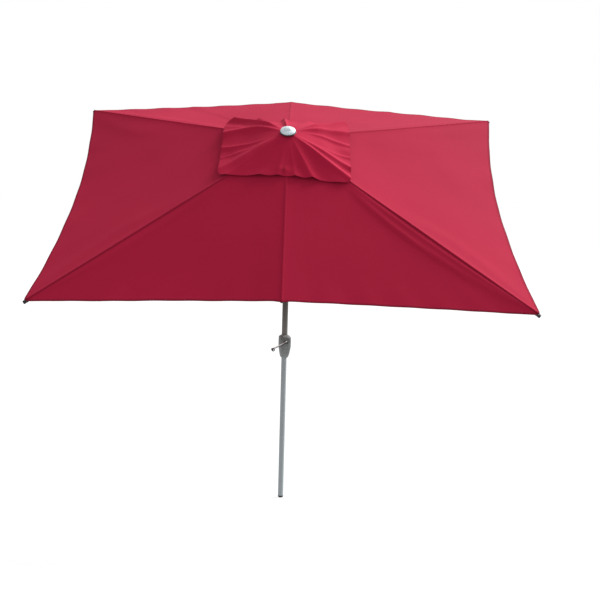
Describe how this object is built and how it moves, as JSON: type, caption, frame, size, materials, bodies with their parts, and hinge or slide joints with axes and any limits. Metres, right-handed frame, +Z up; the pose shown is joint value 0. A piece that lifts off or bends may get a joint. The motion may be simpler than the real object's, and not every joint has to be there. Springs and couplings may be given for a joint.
{
  "type": "patio umbrella",
  "caption": "Rectangular tilting market umbrella: crank-wound folding canopy on six ribs with a vent cap, push-button tilt joint, two-piece pole with a bare foot for a separate stand.",
  "frame": {"origin": "centre of the flat foot of the pole, where it stands in its base", "axes": "+Z up along the lower pole, +X along the canopy's long side, -Y towards the side that the canopy is tilted down to and that the crank faces"},
  "size_m": [2.7546, 1.6, 2.658],
  "materials": {
    "black_plastic": "matt moulded",
    "canopy_red": "woven polyester",
    "cast_knuckle": "satin cast",
    "chrome": "bright plated",
    "cord_nylon": "braided",
    "finial_white": "satin",
    "housing_plastic": "matt moulded",
    "hub_plastic": "matt moulded",
    "pole_aluminium": "satin grey powder coat",
    "rib_aluminium": "satin dark grey",
    "zinc_steel": "zinc plated"
  },
  "bodies": {
    "root": {"foot_plug": "black_plastic", "lower_pole": "pole_aluminium", "middle_pole": "pole_aluminium", "crank_housing_front": "housing_plastic", "crank_housing_rear": "housing_plastic", "housing_screw_upper": "zinc_steel", "housing_screw_lower": "zinc_steel", "tilt_fork": "cast_knuckle", "tilt_pin": "zinc_steel", "button_spring": "zinc_steel", "lift_cord_lower": "cord_nylon"},
    "crank": {"crank_shaft": "zinc_steel", "cord_drum": "black_plastic", "crank_arm": "chrome", "knob_pin": "zinc_steel"},
    "knob": {"crank_knob": "black_plastic"},
    "tilt_button": {"tilt_button": "black_plastic"},
    "upper_pole": {"tilt_tongue": "cast_knuckle", "upper_pole": "pole_aluminium", "top_hub": "hub_plastic", "hub_ring": "zinc_steel", "finial": "finial_white", "finial_washer": "black_plastic", "pulley_axle": "zinc_steel", "lift_cord_upper": "cord_nylon", "vent_cap": "canopy_red"},
    "pulley": {"cord_pulley": "black_plastic"},
    "runner": {"runner": "hub_plastic", "lift_cord_fall": "cord_nylon"},
    "rib_back_right": {"rib_back_right": "rib_aluminium", "rib_tip_back_right": "black_plastic", "bracket_back_right": "black_plastic", "canopy_back_right": "canopy_red"},
    "rib_back_middle": {"rib_back_middle": "rib_aluminium", "rib_tip_back_middle": "black_plastic", "bracket_back_middle": "black_plastic", "canopy_back_middle": "canopy_red"},
    "rib_back_left": {"rib_back_left": "rib_aluminium", "rib_tip_back_left": "black_plastic", "bracket_back_left": "black_plastic", "canopy_back_left": "canopy_red"},
    "rib_front_left": {"rib_front_left": "rib_aluminium", "rib_tip_front_left": "black_plastic", "bracket_front_left": "black_plastic", "canopy_front_left": "canopy_red"},
    "rib_front_middle": {"rib_front_middle": "rib_aluminium", "rib_tip_front_middle": "black_plastic", "bracket_front_middle": "black_plastic", "canopy_front_middle": "canopy_red"},
    "rib_front_right": {"rib_front_right": "rib_aluminium", "rib_tip_front_right": "black_plastic", "bracket_front_right": "black_plastic", "canopy_front_right": "canopy_red"},
    "strut_back_right": {"strut_back_right": "rib_aluminium"},
    "strut_back_middle": {"strut_back_middle": "rib_aluminium"},
    "strut_back_left": {"strut_back_left": "rib_aluminium"},
    "strut_front_left": {"strut_front_left": "rib_aluminium"},
    "strut_front_middle": {"strut_front_middle": "rib_aluminium"},
    "strut_front_right": {"strut_front_right": "rib_aluminium"}
  },
  "joints": [
    {"name": "canopy_tilt", "type": "hinge", "parent": "root", "child": "upper_pole", "pos_m": [0, 0, 1.58], "axis": [1, 0, 0], "range_deg": [-38.3, 0]},
    {"name": "runner_slide", "type": "slide", "parent": "upper_pole", "child": "runner", "axis": [0, -0.6198, 0.7848], "range_m": [-0.5, 0], "deforming": ["canopy_back_right", "canopy_back_middle", "canopy_back_left", "canopy_front_left", "canopy_front_middle", "canopy_front_right", "vent_cap", "lift_cord_fall"]},
    {"name": "rib_back_right_fold", "type": "hinge", "parent": "upper_pole", "child": "rib_back_right", "pos_m": [0.0287, -0.54208, 2.29872], "axis": [-0.5725, 0.6435, 0.5082], "range_deg": [0, 69.95]},
    {"name": "rib_back_middle_fold", "type": "hinge", "parent": "upper_pole", "child": "rib_back_middle", "pos_m": [0, -0.53033, 2.30799], "axis": [-1, 0, 0], "range_deg": [0, 63.1]},
    {"name": "rib_back_left_fold", "type": "hinge", "parent": "upper_pole", "child": "rib_back_left", "pos_m": [-0.0287, -0.54208, 2.29872], "axis": [-0.5725, -0.6435, -0.5082], "range_deg": [0, 69.95]},
    {"name": "rib_front_left_fold", "type": "hinge", "parent": "upper_pole", "child": "rib_front_left", "pos_m": [-0.0287, -0.57352, 2.27388], "axis": [0.5725, -0.6435, -0.5082], "range_deg": [0, 69.95]},
    {"name": "rib_front_middle_fold", "type": "hinge", "parent": "upper_pole", "child": "rib_front_middle", "pos_m": [0, -0.58527, 2.26461], "axis": [1, 0, 0], "range_deg": [0, 63.1]},
    {"name": "rib_front_right_fold", "type": "hinge", "parent": "upper_pole", "child": "rib_front_right", "pos_m": [0.0287, -0.57352, 2.27388], "axis": [0.5725, 0.6435, 0.5082], "range_deg": [0, 69.95]},
    {"name": "strut_back_right_fold", "type": "hinge", "parent": "rib_back_right", "child": "strut_back_right", "pos_m": [0.33918, -0.30044, 2.3425], "axis": [-0.5725, 0.6435, 0.5082], "range_deg": [-127.59, 0]},
    {"name": "strut_back_middle_fold", "type": "hinge", "parent": "rib_back_middle", "child": "strut_back_middle", "pos_m": [0, -0.13592, 2.42564], "axis": [-1, 0, 0], "range_deg": [-123.07, 0]},
    {"name": "strut_back_left_fold", "type": "hinge", "parent": "rib_back_left", "child": "strut_back_left", "pos_m": [-0.33918, -0.30044, 2.3425], "axis": [-0.5725, -0.6435, -0.5082], "range_deg": [-127.59, 0]},
    {"name": "strut_front_left_fold", "type": "hinge", "parent": "rib_front_left", "child": "strut_front_left", "pos_m": [-0.33918, -0.67212, 2.04896], "axis": [0.5725, -0.6435, -0.5082], "range_deg": [-127.59, 0]},
    {"name": "strut_front_middle_fold", "type": "hinge", "parent": "rib_front_middle", "child": "strut_front_middle", "pos_m": [0, -0.79111, 1.9082], "axis": [1, 0, 0], "range_deg": [-123.07, 0]},
    {"name": "strut_front_right_fold", "type": "hinge", "parent": "rib_front_right", "child": "strut_front_right", "pos_m": [0.33918, -0.67212, 2.04896], "axis": [0.5725, 0.6435, 0.5082], "range_deg": [-127.59, 0]},
    {"name": "crank_turn", "type": "hinge", "parent": "root", "child": "crank", "pos_m": [0, 0, 1.053], "axis": [0.2756, -0.9613, 0], "range_deg": [0, 2520.1]},
    {"name": "knob_spin", "type": "hinge", "parent": "crank", "child": "knob", "pos_m": [-0.09309, -0.02669, 1.00989], "axis": [0.2756, -0.9613, 0], "continuous": true},
    {"name": "pulley_spin", "type": "hinge", "parent": "upper_pole", "child": "pulley", "pos_m": [0, -0.54541, 2.2706], "axis": [0, 0.7848, 0.6198], "range_deg": [0, 2491.2]},
    {"name": "tilt_button", "type": "slide", "parent": "root", "child": "tilt_button", "axis": [0, -1, 0], "range_m": [0, 0.003], "stiffness_N_per_m": 400, "springref_m": -0.002, "deforming": ["button_spring"]}
  ],
  "couplings": [
    {"joint": "rib_back_right_fold", "follows": "runner_slide", "rad_per_m": -2.4416},
    {"joint": "rib_back_middle_fold", "follows": "runner_slide", "rad_per_m": -2.2024},
    {"joint": "rib_back_left_fold", "follows": "runner_slide", "rad_per_m": -2.4416},
    {"joint": "rib_front_left_fold", "follows": "runner_slide", "rad_per_m": -2.4416},
    {"joint": "rib_front_middle_fold", "follows": "runner_slide", "rad_per_m": -2.2024},
    {"joint": "rib_front_right_fold", "follows": "runner_slide", "rad_per_m": -2.4416},
    {"joint": "strut_back_right_fold", "follows": "runner_slide", "rad_per_m": 4.4535},
    {"joint": "strut_back_middle_fold", "follows": "runner_slide", "rad_per_m": 4.2957},
    {"joint": "strut_back_left_fold", "follows": "runner_slide", "rad_per_m": 4.4535},
    {"joint": "strut_front_left_fold", "follows": "runner_slide", "rad_per_m": 4.4535},
    {"joint": "strut_front_middle_fold", "follows": "runner_slide", "rad_per_m": 4.2957},
    {"joint": "strut_front_right_fold", "follows": "runner_slide", "rad_per_m": 4.4535},
    {"joint": "crank_turn", "follows": "runner_slide", "rad_per_m": -87.965},
    {"joint": "pulley_spin", "follows": "runner_slide", "rad_per_m": -86.957}
  ]
}
